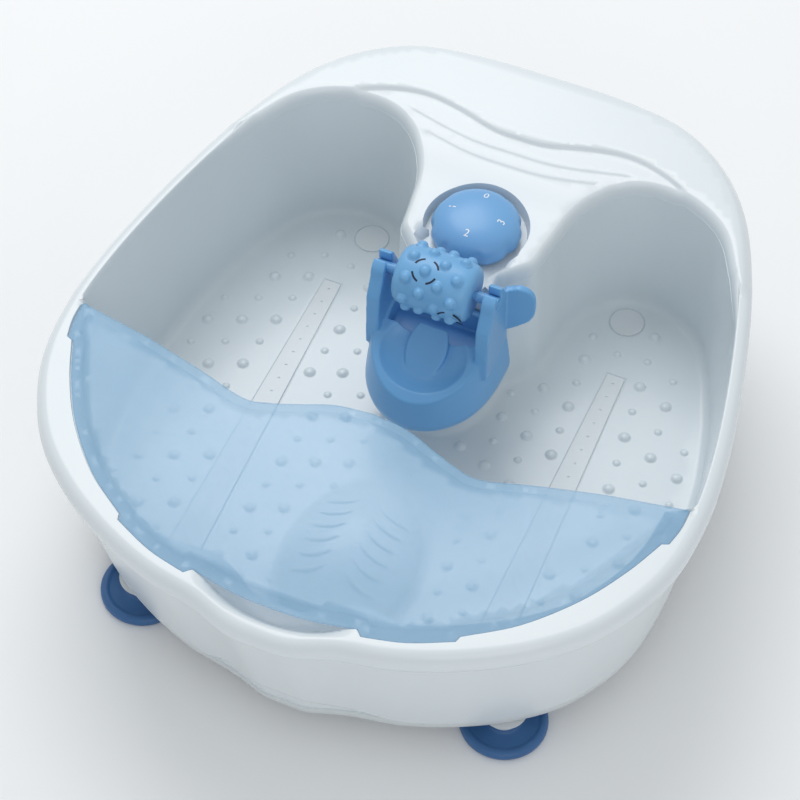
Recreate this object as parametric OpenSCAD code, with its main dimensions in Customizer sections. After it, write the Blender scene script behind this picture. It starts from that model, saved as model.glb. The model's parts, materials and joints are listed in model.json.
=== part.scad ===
// Foot spa basin: one moulded tub on a base tray, with a lift-off splash guard, a four-position
// dial, and a lift-off cradle that carries a nubbed massage roller.
// Frame: millimetres, +Z up, origin under the middle of the basin at the level of its feet.
// -Y is the spout end, +Y is the deck with the dial, +X is the user's left foot when seated.

/* [Basin] */
// Height of the rim's top above the ground
rim_h = 130; // [126:1:140]
// Height of the wells' floor above the ground
floor_z = 32; // [30:1:36]
// Thickness of the moulded walls
wall = 2.6; // [2:0.1:3.2]
// Height of the rear deck above the rim
deck_rise = 2.6; // [1.5:0.1:4]
// How far the rim dips at the spout
spout_dip = 3; // [1:0.5:5]

/* [Base] */
// Height of the base tray's underside above the ground
base_z = 14; // [12:1:16]
// Height of the parting line between tub and base tray
part_z = 26; // [24:1:28]
// Radius of a rubber foot
foot_r = 24; // [20:1:26]
// Thickness of a rubber foot
foot_h = 6; // [5:0.5:8]

/* [Dial] */
// Radius of the dial
knob_r = 25.2; // [23:0.2:26]
// Distance of the dial's axis behind the middle of the basin
knob_y = 86; // [84:1:88]
// Height of the dial's crown above the ground
knob_top = 136; // [134:1:140]
// Radius of the switch spindle
shaft_r = 3; // [2.5:0.1:3.5]

/* [Roller] */
// Height of the roller's axis above the ground
axle_z = 138; // [137:1:142]
// Distance of the roller's axis behind the middle of the basin
axle_y = 30; // [28:1:30]
// Radius of the roller between its nubs
roller_r = 17; // [15:0.5:17]
// Length of the roller
roller_len = 44; // [40:1:46]
// Radius of the axle's ends
axle_r = 3; // [2.5:0.1:3.5]

/* [Splash guard] */
// Thickness of the splash guard
guard_t = 2.2; // [1.8:0.1:2.4]
// Height of the ledge that the guard rests on
ledge_z = 127.6; // [127:0.1:128]

/* [Hidden] */
$fn = 64;

white = "#dde6ea";
blue = "#6f9fd2";
navy = "#2f5f98";
steel = "#b9bec4";
dark = "#3c4148";
amber = "#c78a3a";

gap = 0.3;          // clearance between separate pieces that don't fit together
run = 0.06;         // radial running clearance of a shaft in its bore
ring_step = 2;      // spline points between two outline points

// ---- outlines: the right half, from the middle of one end to the middle of the other ----

// Outer edge of the rim, from the deck's middle round to the spout's tip
rim_half = [[0, 204], [44, 203], [82, 196], [112, 177], [135, 148], [153, 106], [166, 60],
            [176, 12], [181, -25], [182, -52], [179, -82], [170, -109], [153, -137],
            [128, -160], [98, -178], [68, -190], [40, -196], [18, -203], [0, -204]];
// Inner side of the wells, from the outer rear of a well round its heel and along the ridge
// to the tip of the post, at floor level
ridge_half = [[138, 102], [124, 126], [104, 139], [82, 142], [63, 133], [50, 113], [45.5, 90],
              [42.5, 72], [35, 62.5], [28.5, 54], [27, 40], [23, 24], [13, 12], [0, 8]];
// How far the foot of the outer wall lies inside the rim's edge, from the spout to the deck
foot_inset = [[-204, 28.5], [-40, 19.5], [40, 12], [204, 12]];

function spline(a, b, c, d, t) =
    0.5 * (2 * b + (c - a) * t + (2 * a - 5 * b + 4 * c - d) * t * t
           + (3 * b - a - 3 * c + d) * t * t * t);
function flip(p) = len(p) == 3 ? [-p[0], p[1], p[2]] : [-p[0], p[1]];
// Catmull-Rom curve through a half outline whose two ends lie on the mirror line
function curve_half(h, k) = let(n = len(h) - 1) concat(
    [for (i = [0:n - 1], j = [0:k - 1])
        spline(i == 0 ? flip(h[1]) : h[i - 1], h[i], h[i + 1],
               i == n - 1 ? flip(h[n - 1]) : h[i + 2], j / k)], [h[n]]);
function mirrored(h) = concat(h, [for (i = [len(h) - 2:-1:1]) flip(h[i])]);
function backwards(v) = [for (i = [len(v) - 1:-1:0]) v[i]];
function unit(v) = v / norm(v);
// Moves each point of an anticlockwise ring inwards by its own distance
function inset_ring(ring, d) = let(n = len(ring)) [for (i = [0:n - 1])
    let(t = unit(ring[(i + 1) % n] - ring[(i + n - 1) % n]))
    ring[i] + (is_list(d) ? d[i] : d) * [-t[1], t[0]]];
function at_z(ring, z) = [for (p = ring) [p[0], p[1], z]];

rim_ring = backwards(mirrored(curve_half(rim_half, ring_step)));
// Inset of the outer wall at a height, for each point of the rim's outline
function wall_inset(ring, z) = [for (p = ring)
    5 + (lookup(p[1], foot_inset) - 5) * max(0, 116 - z) / (116 - base_z)];
function wall_ring(z, extra) = inset_ring(rim_ring, [for (w = wall_inset(rim_ring, z)) w + extra]);

// Half curve through outline points whose far end lies on the mirror line
function curve_inner(h, k) = let(n = len(h) - 1) concat(
    [for (i = [0:n - 1], j = [0:k - 1])
        spline(i == 0 ? 2 * h[0] - h[1] : h[i - 1], h[i], h[i + 1],
               i == n - 1 ? flip(h[n - 1]) : h[i + 2], j / k)], [h[n]]);
// Moves each point of an open half curve to the left of its travel
function moved_left(h, first, last, d) = let(n = len(h)) [for (i = [0:n - 1]) let(
    before = i == 0 ? first : h[i - 1],
    after = i == n - 1 ? last : h[i + 1],
    t = unit(after - before)) h[i] + (is_list(d) ? d[i] : d) * [-t[1], t[0]]];

// The cavity over both wells and the front basin. Its outer side follows the outer wall, and
// its inner side wraps the ridge and the post.
side_half = [for (p = backwards(curve_half(rim_half, ring_step))) if (p[1] < 82) p];
heel_turn = [160, 84];
function cavity_half(z, extra, draft, band) = let(
    n = len(side_half),
    outer_d = [for (i = [0:n - 1])
        5 + (lookup(side_half[i][1], foot_inset) - 5) * max(0, 116 - z) / (116 - base_z)
        + extra + band * lookup(side_half[i][1], [[-60, 1], [20, -1]])],
    outer = moved_left(side_half, flip(side_half[1]), heel_turn, outer_d),
    curve = curve_inner(ridge_half, ring_step),
    m = len(curve),
    inner = moved_left(curve, outer[n - 1], flip(curve[m - 2]), -draft))
    concat([[0, outer[0][1]]], [for (i = [1:n - 1]) outer[i]],
           [for (i = [0:m - 2]) inner[i]], [[0, inner[m - 1][1]]]);
function cavity_ring(z, extra, draft, band) = mirrored(cavity_half(z, extra, draft, band));

// A closed solid through rings of equal length, each anticlockwise from above, bottom first
module loft(rings) {
    n = len(rings[0]);
    m = len(rings);
    polyhedron(
        points = [for (r = rings, p = r) p],
        faces = concat([[for (i = [0:n - 1]) i]], [[for (i = [n - 1:-1:0]) (m - 1) * n + i]],
            [for (k = [0:m - 2], i = [0:n - 1]) let(j = (i + 1) % n)
                [k * n + i, (k + 1) * n + i, (k + 1) * n + j, k * n + j]]));
}
module prism(ring, z0, z1) {
    translate([0, 0, z0]) linear_extrude(z1 - z0) polygon(ring);
}
module both() {
    children();
    mirror([1, 0, 0]) children();
}
module ring_of(r_out, r_in, h) {
    difference() {
        cylinder(r = r_out, h = h);
        translate([0, 0, -1]) cylinder(r = r_in, h = h + 2);
    }
}
module along_x(p) {
    translate(p) rotate([0, 90, 0]) children();
}

// ---- tub ----

side_t = 3.4;       // wall thickness between the cavity and the outer wall
post_top = 80;      // top of the low post that carries the cradle
post_y = 46;        // front of the high part of the ridge
recess_z = 117;     // floor of the recess round the dial
recess_r = 28.7;
console_z = rim_h - 5.5;

// Each level: height, how far the outer side lies in from the full width, how far the inner
// side has moved towards the ridge, and how much the rim's band narrows the front
fillet = [[0, 5, -5, 0], [1.6, 2, -2, 0], [5, 0.4, -0.4, 0], [9, 0, 0, 0]];
module cavity() {
    loft([for (s = concat([for (f = fillet) [floor_z + f[0], f[1], f[2], f[3]]],
                          [[117, 0, 3, 0], [124, 0, 4, 1.2], [128, -0.4, 5.2, 1.6],
                           [rim_h, -1.6, 7.2, 1.6], [rim_h + 4, -1.8, 7.6, 1.6]]))
        at_z(cavity_ring(s[0], side_t + s[1], s[2], s[3]), s[0])]);
}
// The cavity grown by the wall's thickness
module cavity_outside() {
    loft([for (s = [[floor_z - wall, 4, -4], [floor_z + 3, 0, 0], [117, 0, 3], [131, -0.5, 6]])
        at_z(cavity_ring(s[0], side_t + s[1] - wall, s[2] + wall, 0), s[0])]);
}
module outer_skin() {
    // The wall, the shadow groove under the lip, and the rolled lip up to the rim's top
    loft([for (s = [[part_z, 0], [40, 0], [70, 0], [100, 0], [115, 0]])
            at_z(wall_ring(s[0], s[1]), s[0])]);
    loft([for (s = [[114, 4.6], [116, 1.6], [118.5, 0.2], [122, 0], [125.5, 0.6],
                    [128.4, 2.4], [rim_h, 5.4]])
            at_z(inset_ring(rim_ring, s[1]), s[0])]);
}
// Edge of the raised deck behind the wells, as a half outline from the middle outwards
deck_edge = [[0, 149], [16, 150], [40, 157], [62, 160], [84, 155], [106, 142], [124, 125],
             [134, 113]];
// Deck behind its front edge; step moves that edge forwards, inset trims the rim's side
module deck(step, inset, z0, z1) {
    edge = [for (i = [len(deck_edge) - 1:-1:0]) deck_edge[i] + [0, step]];
    back = [for (p = inset_ring(rim_ring, inset)) if (p[0] > 0 && p[1] > 113) p];
    half = concat([[0, 204 - inset]], backwards(back), edge);
    both() prism(half, z0, z1);
}
module recess_outline() {
    hull() {
        translate([0, knob_y]) circle(r = recess_r, $fn = 48);
        translate([-18, post_y - 4]) square([36, 4]);
    }
}
// Nub positions in the right-hand well: two groups, one each side of the bubble strip
outer_bound = [[-172, 40], [-150, 84], [-120, 118], [-80, 140], [-40, 148], [20, 148], [60, 142],
               [95, 130], [125, 108], [133, 90]];
inner_bound = [[-172, -1], [-10, -1], [0, 12], [22, 26], [40, 33], [56, 38], [80, 52], [112, 58], [133, 84]];
function inside(p) = p[1] > -168 && p[1] < 131 && p[0] < lookup(p[1], outer_bound)
    && p[0] > lookup(p[1], inner_bound);
function nubs(start, a, b, rows) = [for (j = rows, i = [-8:8])
    let(p = start + i * a + j * b) if (inside(p) && abs(p[0] - strip_x) > 13) p];
function well_nubs(rows) = concat(
    [for (p = nubs([107, 48], [18.2, -7.6], [2.1, -18.2], rows)) if (p[0] > strip_x) p],
    [for (p = nubs([70.4, 55.6], [17.4, -6.8], [1.6, -17.4], rows)) if (p[0] < strip_x) p]);
module nub_field() {
    for (p = well_nubs([-6:2:14]))
        translate([p[0], p[1], floor_z - 0.2]) cylinder(r1 = 3.2, r2 = 1.7, h = 2.2, $fn = 5);
}
strip_back = 86;     // rear end of a bubble strip
strip_front = -118;  // front end of a bubble strip
strip_x = 88;
module strip_outline(grow) {
    polygon([[strip_x - 5 - grow, strip_back + grow], [strip_x + 5 + grow, strip_back + grow],
             [strip_x + 9 + grow, strip_front - grow], [strip_x - 9 - grow, strip_front - grow]]);
}
heel_y = 125;
heel_x = 80;
heel_r = 9.6;
spout_y = -180;

// Low mound with massage ribs in the middle of the front basin
hump_y = -90;
module hump(shrink) {
    translate([0, hump_y, floor_z - shrink])
        scale([36 - shrink, 52 - shrink, 26 - shrink] / 10) sphere(r = 10, $fn = 24);
}
// Shallow relief for the fingers in the foot of the front wall
module finger_relief() {
    translate([4, -186.5, base_z]) scale([1, 0.22, 0.4]) sphere(r = 60, $fn = 32);
}
// Shelf inside the rim's front half, which the splash guard rests on
module shelf() {
    hole = concat(guard_sides, [[172, -30], [0, -30]]);
    difference() {
        prism(inset_ring(rim_ring, 6), 124.5, rim_h);
        prism(inset_ring(mirrored(hole), 5), 120, rim_h + 5);
        translate([-200, -48, 120]) cube([400, 300, 20]);
    }
}
// Everything under the tub's skin that is open towards the base tray
module underside() {
    difference() {
        union() {
            loft([for (z = [part_z - 1, 70, 112]) at_z(wall_ring(z, wall + 0.6), z)]);
            loft([at_z(wall_ring(110, wall + 0.8), 110),
                  at_z(wall_ring(116, wall + 2.4), console_z - wall)]);
            deck(4, 11, 120, rim_h);
        }
        cavity_outside();
        translate([0, knob_y, recess_z - wall]) cylinder(r = recess_r + wall, h = 20, $fn = 48);
        translate([-30, post_y, 80]) cube([60, wall, 60]);
        translate([-30, 0, post_top - wall]) cube([60, post_y + 1, 60]);
    }
    hump(wall);
}
module tub_shell() {
    difference() {
        union() {
            outer_skin();
            prism(inset_ring(rim_ring, 8), 112, console_z);
            deck(0, 7, console_z - 1, rim_h + deck_rise);
            deck(-10.5, 7, console_z - 1, rim_h - 1);
        }
        underside();
        difference() {
            cavity();
            hump(0);
            both() nub_field();
            shelf();
        }
        // the post is cut down in front of the ridge
        translate([-32, -2, post_top]) cube([64, post_y + 2, 60]);
        // recess round the dial, open towards the cradle
        translate([0, 0, recess_z]) linear_extrude(20) recess_outline();
        // rebate for the splash guard
        translate([0, 0, ledge_z]) linear_extrude(4) polygon(guard_ring(0.4));
        // spout trough and the dip in the rim above it
        hull() {
            translate([0, spout_y, rim_h + 1]) scale([1, 0.35, 1]) cylinder(r = 47, h = 1, $fn = 32);
            translate([0, spout_y, 112]) scale([1, 0.3, 1]) cylinder(r = 36, h = 1, $fn = 32);
        }
        translate([0, -140, 0]) rotate([90, 0, 0]) linear_extrude(80)
            polygon(concat([for (x = [-48:8:48]) [x, rim_h - spout_dip * (1 + cos(x * 180 / 48)) / 2]],
                           [[49, rim_h + 9], [-49, rim_h + 9]]));
        // seats and air slots of the bubble strips, and the heel plugs' seats
        both() {
            translate([0, 0, floor_z - 1.3]) linear_extrude(3) strip_outline(0.15);
            translate([strip_x - 2.5, strip_front + 4, floor_z - 4])
                cube([5, strip_back - strip_front - 8, 4]);
            translate([heel_x, heel_y, floor_z - 1.3]) cylinder(r = heel_r + 0.15, h = 4, $fn = 32);
        }
        finger_relief();
        // inlet hole at the rear
        translate([inlet[0], inlet[1] + 17, inlet[2]]) rotate([90, 0, 0])
            cylinder(r = inlet_r + 0.1, h = 40, $fn = 64);
    }
}
// Screw bosses that hang from the floor of the wells and meet the base tray
boss_half = [[146, -62], [146, 44], [66, -141], [118, 96]];
boss_at = concat(boss_half, [for (p = boss_half) flip(p)]);
boss_foot = 19;
boss_r = 4.5;
spindle_hole = 5.6;
module tub() {
    color(white) difference() {
        union() {
            resize([364, 408, 0]) tub_shell();
            for (p = boss_at) translate([p[0], p[1], boss_foot])
                cylinder(r = boss_r, h = floor_z - wall - boss_foot + 0.6);
        }
        translate([0, knob_y, recess_z - 10]) cylinder(r = spindle_hole, h = 20);
        for (p = boss_at) translate([p[0], p[1], boss_foot - 1]) cylinder(r = 1.45, h = 10);
    }
}

// ---- base ----

foot_front = [106.5, -130.5];
foot_rear = [92, 148];
foot_at = [foot_front, foot_rear, flip(foot_rear), flip(foot_front)];
module base_shell() {
    difference() {
        loft([for (s = [[base_z, 5], [base_z + 1.4, 2], [base_z + 4.5, 0.3], [part_z - gap, 0.2]])
            at_z(wall_ring(s[0], s[1]), s[0])]);
        loft([for (s = [[base_z + wall, 6], [base_z + wall + 3, 3.4], [part_z + 1, 3]])
            at_z(wall_ring(s[0], s[1]), s[0])]);
        finger_relief();
    }
}
module base_cover() {
    color("#c3cbd0") difference() {
        union() {
            resize([0, 0, 0]) base_shell();
            for (p = foot_at) translate([p[0], p[1], foot_h]) cylinder(r1 = 9, r2 = 11, h = base_z - foot_h + 1);
            for (p = foot_at) translate([p[0], p[1], base_z + 1]) cylinder(r = 7, h = 8);
            for (p = boss_at) translate([p[0], p[1], base_z + 1])
                cylinder(r = boss_r, h = boss_foot - gap - base_z - 1);
        }
        for (p = foot_at) translate([p[0], p[1], foot_h - 1]) cylinder(r = 1.5, h = 15);
        for (p = boss_at) {
            translate([p[0], p[1], base_z - 1]) cylinder(r = 1.8, h = 20);
            translate([p[0], p[1], base_z - 1]) cylinder(r = 3.6, h = 3.2);
        }
    }
}
module rubber_foot(p) {
    color(navy) translate([p[0], p[1], 0]) rotate_extrude()
        polygon([[4.2, 2.6], [4.2, 0.8], [9, 0.8], [11, 0], [foot_r - 1.5, 0], [foot_r, 1.4],
                 [foot_r, foot_h - 2], [foot_r - 2, foot_h - 0.6], [foot_r - 5, foot_h - 0.2],
                 [foot_r - 7, foot_h - 1.4], [10, foot_h - 1.4], [9, foot_h], [1.9, foot_h],
                 [1.9, 2.6]]);
}
module screw(head_r, head_h, shank_r, length) {
    cylinder(r = head_r, h = head_h);
    cylinder(r = shank_r, h = length);
}
module foot_screws() {
    color(steel) for (p = foot_at) translate([p[0], p[1], 0.8]) screw(3.6, 1.8, 1.4, 17);
}
module base_screws() {
    color(steel) for (p = boss_at) translate([p[0], p[1], base_z + 0.8]) screw(3.2, 1.2, 1.4, 12);
}

// ---- splash guard ----

guard_front = [[0, -186], [20, -185], [45, -180.5]];
guard_tab = [[48.5, -184], [70, -178.5], [92, -168.5]];
guard_side = [[93, -165], [118, -147], [140, -122.5], [155, -98], [165.5, -75]];
guard_tip = [[169, -73.5], [171.5, -62], [172, -50]];
guard_back = [[130, -57.5], [96, -66], [67, -74], [52, -71.5], [37, -66], [20, -59.5], [0, -57]];
function open_curve(h, k) = let(n = len(h) - 1) concat(
    [for (i = [0:n - 1], j = [0:k - 1]) spline(i == 0 ? 2 * h[0] - h[1] : h[i - 1], h[i], h[i + 1],
        i == n - 1 ? 2 * h[n] - h[n - 1] : h[i + 2], j / k)], [h[n]]);
guard_sides = concat(open_curve(guard_front, 3), open_curve(guard_tab, 2),
    open_curve(guard_side, 2), guard_tip);
function guard_half() = concat(guard_sides, open_curve(guard_back, 3));
function guard_ring(grow) = inset_ring(mirrored(guard_half()), -grow);
module splash_guard() {
    color("#a9c6e0", 0.75)
        translate([0, 0, ledge_z + 0.1]) linear_extrude(guard_t) polygon(guard_ring(0));
}

// ---- strips and plugs in the floor ----

module bubble_strip() {
    difference() {
        translate([0, 0, floor_z - 1.3]) linear_extrude(1.7) strip_outline(0);
        for (y = [strip_front + 8:10:strip_back - 4])
            translate([strip_x, y, floor_z - 3]) cylinder(r = 0.8, h = 6);
    }
}
module bubble_strip_right() { color(white) bubble_strip(); }
module bubble_strip_left() { color(white) mirror([1, 0, 0]) bubble_strip(); }
module heel_disc(x) {
    color(white) translate([x, heel_y, floor_z - 1.3]) cylinder(r = heel_r, h = 1.7);
}
module heel_disc_right() { heel_disc(heel_x); }
module heel_disc_left() { heel_disc(-heel_x); }

// ---- roller and cradle ----

// Widest outline of the cradle, from the nose's tip to its rear corner
skirt_half = [[0, -17.5], [15, -13.5], [27, -3], [34, 10], [37.5, 26], [38.2, 45.2]];
skirt_back = 45.2;
arm_in = 27.8;
arm_out = 35.6;
arm_foot = 94;
crest_z = 106;      // height of the cap's shoulders, at the foot of the arms
nose = [0, -12, 88]; // the cap's crest at the nose
slope = 24;         // fall of the crest towards the nose, in degrees
// Skirt outline drawn in towards the middle of its rear edge by a share of its size
function skirt_ring(share, z) = at_z(mirrored(concat(
    [for (p = open_curve(skirt_half, 3))
        [p[0] * (1 - share), skirt_back - (skirt_back - p[1]) * (1 - share)]],
    [[0, skirt_back]])), z);
// Cap with walls of one thickness over the post
module cap_body() {
    difference() {
        loft([skirt_ring(0.05, 63), skirt_ring(0.012, 66), skirt_ring(0, 70), skirt_ring(0.035, 84),
              skirt_ring(0.08, 96), skirt_ring(0.11, 104), skirt_ring(0.14, 112)]);
        // crest that falls towards the nose, and level shoulders behind it
        translate(nose) rotate([slope, 0, 0]) translate([-50, -40, 0]) cube([100, 140, 40]);
        translate([-50, 10, crest_z]) cube([100, 60, 20]);
        // dished top
        translate([0, 10, 101]) rotate([slope, 0, 0]) scale([2.4, 2.1, 0.95]) sphere(r = 10, $fn = 28);
        // pocket under the roller
        translate([-26, pocket_y, 96]) cube([52, 15, 20]);
        // room for the post, and the hollow in front of it
        translate([0, 0, 55]) linear_extrude(post_top + gap - 55) polygon(mirrored(post_clear));
        loft([skirt_ring(0.13, 60), skirt_ring(0.11, 68), skirt_ring(0.2, 78)]);
    }
}
pocket_y = 26;
post_clear = [[0, 6.5], [13, 10.6], [24, 23.6], [28, 39.6], [28.6, 47], [0, 47]];
// Side view of an arm, as depth and height, with a slot that the axle drops into
module arm_profile() {
    difference() {
        union() {
            polygon([[14, arm_foot], [skirt_back, arm_foot], [skirt_back, 126],
                     [axle_y + 9, axle_z + 2], [axle_y - 8, axle_z + 2], [17, 118]]);
            translate([axle_y, axle_z]) circle(r = 8.6);
        }
        translate([axle_y, axle_z]) circle(r = axle_r + run);
        translate([axle_y - 2.6, axle_z]) square([5.2, 14]);
    }
}
module arm_pair() {
    for (x = [arm_in, -arm_out]) translate([x, 0, 0]) rotate([90, 0, 90])
        linear_extrude(arm_out - arm_in) arm_profile();
}
module finger_tab() {
    translate([arm_out - 2, skirt_back, 101]) rotate([90, 0, 16]) linear_extrude(4.2)
        polygon([[0, 0], [7, 5], [13, 9], [16, 15], [16.5, 26], [14, 33], [8, 36], [0, 36]]);
}
// Oval ramp that rises out of the dish to the pocket
module tongue() {
    intersection() {
        translate([0, 16, post_top + 2]) scale([1, 1.25, 1]) cylinder(r = 11.5, h = 30);
        translate([0, 3, 89]) rotate([36, 0, 0]) translate([-15, -15, -40]) cube([30, 60, 40]);
        translate([-15, -5, post_top]) cube([30, 5 + pocket_y - 0.2, 40]);
    }
}
module roller_cradle() {
    color(blue) {
        resize([0, 0, 0]) cap_body();
        arm_pair();
        finger_tab();
        tongue();
    }
}
nub_rows = [-13.5, -4.5, 4.5, 13.5];
module roller_sleeve() {
    color(blue) difference() {
        union() {
            along_x([-roller_len / 2, axle_y, axle_z]) rotate_extrude()
                polygon([[0, 0], [roller_r - 5, 0], [roller_r - 1.8, 1.6], [roller_r, 6],
                         [roller_r, roller_len - 6], [roller_r - 1.8, roller_len - 1.6],
                         [roller_r - 5, roller_len], [0, roller_len]]);
            for (r = [0:3], k = [0:7])
                translate([nub_rows[r], axle_y, axle_z]) rotate([k * 45 + (r % 2) * 22.5, 0, 0])
                    translate([0, 0, roller_r]) sphere(r = 2.6);
        }
        along_x([-roller_len, axle_y, axle_z]) cylinder(r = 2.2, h = 2 * roller_len);
    }
}
module roller_axle() {
    color(blue) along_x([0, axle_y, axle_z]) {
        translate([0, 0, -roller_len / 2 - 1]) cylinder(r = 2.2, h = roller_len + 2);
        for (s = [-1, 1]) translate([0, 0, s * (roller_len / 2 + 7)])
            cylinder(r = axle_r, h = 12, center = true);
    }
}

// ---- dial and switch ----

crown_t = 5;        // the crown's thickness over the end of the spindle
module control_knob() {
    color(blue) translate([0, knob_y, 0]) difference() {
        rotate_extrude() polygon([[shaft_r + 0.01, 120], [18, 120], [knob_r, 119.6],
            [knob_r, knob_top - 11.5], [knob_r - 0.8, knob_top - 9.6], [knob_r - 3.8, knob_top - 6],
            [knob_r - 9, knob_top - 2.8], [knob_r - 17, knob_top - 0.6], [4, knob_top], [0, knob_top], [0, knob_top - crown_t],
            [shaft_r + 0.01, knob_top - crown_t]]);
        for (k = [0:7]) rotate([0, 0, 22.5 + 45 * k]) translate([knob_r + 4.8, 0, 112])
            cylinder(r = 7.4, h = knob_top - 10 - 112);
        translate([0, 0, 118]) ring_of(16, 7, knob_top - crown_t - 5 - 118);
    }
}
module knob_shaft() {
    color(steel) translate([0, knob_y, 98]) cylinder(r = shaft_r, h = knob_top - crown_t - 98);
}
module rotary_switch() {
    color(dark) translate([0, knob_y, 0]) difference() {
        union() {
            translate([-16, -16, 94]) cube([32, 32, 15]);
            translate([0, 0, 109]) cylinder(r = spindle_hole - 0.2, h = 9.4);
            for (x = [-9, -3, 3, 9]) translate([x - 1.2, -21, 99]) cube([2.4, 6, 1]);
        }
        translate([0, 0, 97.5]) cylinder(r = shaft_r + run, h = 30);
    }
}
module switch_nut() {
    color(steel) translate([0, knob_y, recess_z + 0.02]) difference() {
        cylinder(r = 7.6, h = 1.3, $fn = 6);
        translate([0, 0, -1]) cylinder(r = spindle_hole - 0.15, h = 4);
    }
}
module knob_seal() {
    color(dark) translate([0, knob_y, 118.42]) ring_of(5.2, shaft_r + run, 1);
}

// ---- heater ----

heat_y = -19;
module heater_plate() {
    color(amber) translate([-62, heat_y - 15, floor_z - wall - 3]) cube([124, 30, 3]);
}
module heater_clamps() {
    color(steel) for (x = [-40, 40]) translate([x - 5, heat_y - 21, floor_z - wall - 4.2]) {
        cube([10, 42, 1.2]);
        for (y = [0, 39]) translate([0, y, 0]) cube([10, 3, 4.2]);
    }
}
module thermostat() {
    color(dark) translate([0, heat_y, floor_z - wall - 8]) {
        cylinder(r = 9, h = 5);
        for (s = [-1, 1]) translate([s * 10 - 3, -2, 1]) cube([6, 4, 1]);
    }
}
module thermal_fuse() {
    color(steel) along_x([15, heat_y + 8, floor_z - wall - 5.1]) cylinder(r = 2, h = 14);
}

// ---- vibration motor ----

motor_y = 100;
motor_z = 42;
can_r = 12;
shaft_m = 1.5;
module vibration_motor() {
    color(steel) along_x([-18, motor_y, motor_z]) difference() {
        union() {
            cylinder(r = can_r, h = 34);
            cylinder(r = 5, h = 36);
        }
        translate([0, 0, 14]) cylinder(r = shaft_m + run, h = 30);
    }
}
module motor_sleeve() {
    color(dark) along_x([-12, motor_y, motor_z]) ring_of(can_r + 2, can_r + 0.02, 22);
}
module motor_bracket() {
    color(white) difference() {
        translate([-14, motor_y - 18, base_z + wall]) cube([26, 36, motor_z - base_z - wall - 0.2]);
        along_x([-20, motor_y, motor_z]) cylinder(r = can_r + 2.05, h = 40);
        for (s = [-1, 1]) translate([-1, motor_y + s * 16, motor_z - 10]) cylinder(r = 0.9, h = 20);
    }
}
module motor_strap() {
    color(steel) difference() {
        union() {
            along_x([-6, motor_y, motor_z]) cylinder(r = can_r + 3.4, h = 10);
            translate([-6, motor_y - 18, motor_z]) cube([10, 36, 1.4]);
        }
        along_x([-7, motor_y, motor_z]) cylinder(r = can_r + 2.05, h = 12);
        translate([-10, motor_y - 30, motor_z - 40]) cube([20, 60, 40]);
        for (s = [-1, 1]) translate([-1, motor_y + s * 16, motor_z - 1]) cylinder(r = 1, h = 4);
    }
}
module motor_shaft() {
    color(steel) along_x([-2, motor_y, motor_z]) cylinder(r = shaft_m, h = 36);
}
module eccentric_weight() {
    color(amber) along_x([21, motor_y, motor_z]) difference() {
        union() {
            cylinder(r = 4, h = 11);
            rotate_extrude(angle = 180, start = 90) square([10.5, 11]);
        }
        translate([0, 0, -1]) cylinder(r = shaft_m + 0.01, h = 13);
    }
}

// ---- air pump ----

pump = [-42, 162, base_z + wall];
arm_pivot = [20, 0, 24];
module pump_frame() {
    color(dark) translate(pump) difference() {
        union() {
            translate([-32, -16, 0]) cube([64, 32, 4]);
            for (y = [-8, 5]) translate([16, y, 3]) cube([8, 3, 26]);
            translate([-32, -10, 3]) cube([2.5, 20, 12]);
        }
        translate(arm_pivot + [0, 20, 0]) rotate([90, 0, 0]) cylinder(r = 1.5, h = 40);
        for (x = [-28, 28]) translate([x, 12, -1]) cylinder(r = 1.6, h = 8);
    }
}
module pump_coil() {
    color(amber) translate(pump + [0, 0, 4]) {
        cylinder(r = 9, h = 2);
        cylinder(r = 7.5, h = 12);
        translate([0, 0, 10]) cylinder(r = 9, h = 2);
    }
}
module pump_arm() {
    color(steel) translate(pump) {
        translate([-24, -3, 22]) cube([46, 6, 3]);
        translate(arm_pivot + [0, 9.5, 0]) rotate([90, 0, 0]) cylinder(r = 1.45, h = 19);
        translate([18, -4.6, 21.5]) cube([4, 9.2, 5]);
    }
}
module pump_magnet() {
    color(dark) translate(pump + [0, 0, 18.6]) cylinder(r = 5, h = 3.4);
}
module pump_diaphragm() {
    color("#22262b") translate(pump + [-21, 0, 4]) rotate_extrude()
        polygon([[0, 0], [8, 0], [8, 2], [6.4, 4], [7.4, 7], [5.2, 10], [4, 15.4], [0, 15.4]]);
}
module pump_lid() {
    color(white) translate(pump) difference() {
        translate([-34, -17.6, 0.1]) cube([68, 35.2, 36]);
        translate([-32.2, -16.2, -1]) cube([64.4, 32.4, 35]);
        translate([-40, -4, -1]) cube([10, 8, 10]);
    }
}

// ---- air path ----

duct_z = floor_z - wall;
module air_duct() {
    difference() {
        translate([strip_x - 6, strip_front - 2, duct_z - 6]) cube([12, strip_back - strip_front + 8, 6]);
        translate([strip_x - 4, strip_front, duct_z - 4.5]) cube([8, strip_back - strip_front + 4, 5]);
        along_x([strip_x - 10, tube_y, tube_z]) cylinder(r = tube_r - 1, h = 8);
    }
}
module air_duct_right() { color(white) air_duct(); }
module air_duct_left() { color(white) mirror([1, 0, 0]) air_duct(); }
tube_r = 2.4;       // outer radius of the soft air tube
tube_y = 74;        // the cross tube's distance behind the middle
tube_z = duct_z - 3;
spur_x = -40;
spur_end = 116;
module air_manifold() {
    color("#d8dde0") difference() {
        union() {
            along_x([-strip_x + 6.1, tube_y, tube_z]) cylinder(r = tube_r, h = 2 * strip_x - 12.2);
            translate([spur_x, tube_y, tube_z]) rotate([-90, 0, 0])
                cylinder(r = tube_r, h = spur_end - tube_y);
        }
        along_x([-strip_x, tube_y, tube_z]) cylinder(r = tube_r - 1, h = 2 * strip_x);
        translate([spur_x, tube_y, tube_z]) rotate([-90, 0, 0]) cylinder(r = tube_r - 1, h = 80);
    }
}
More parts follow.
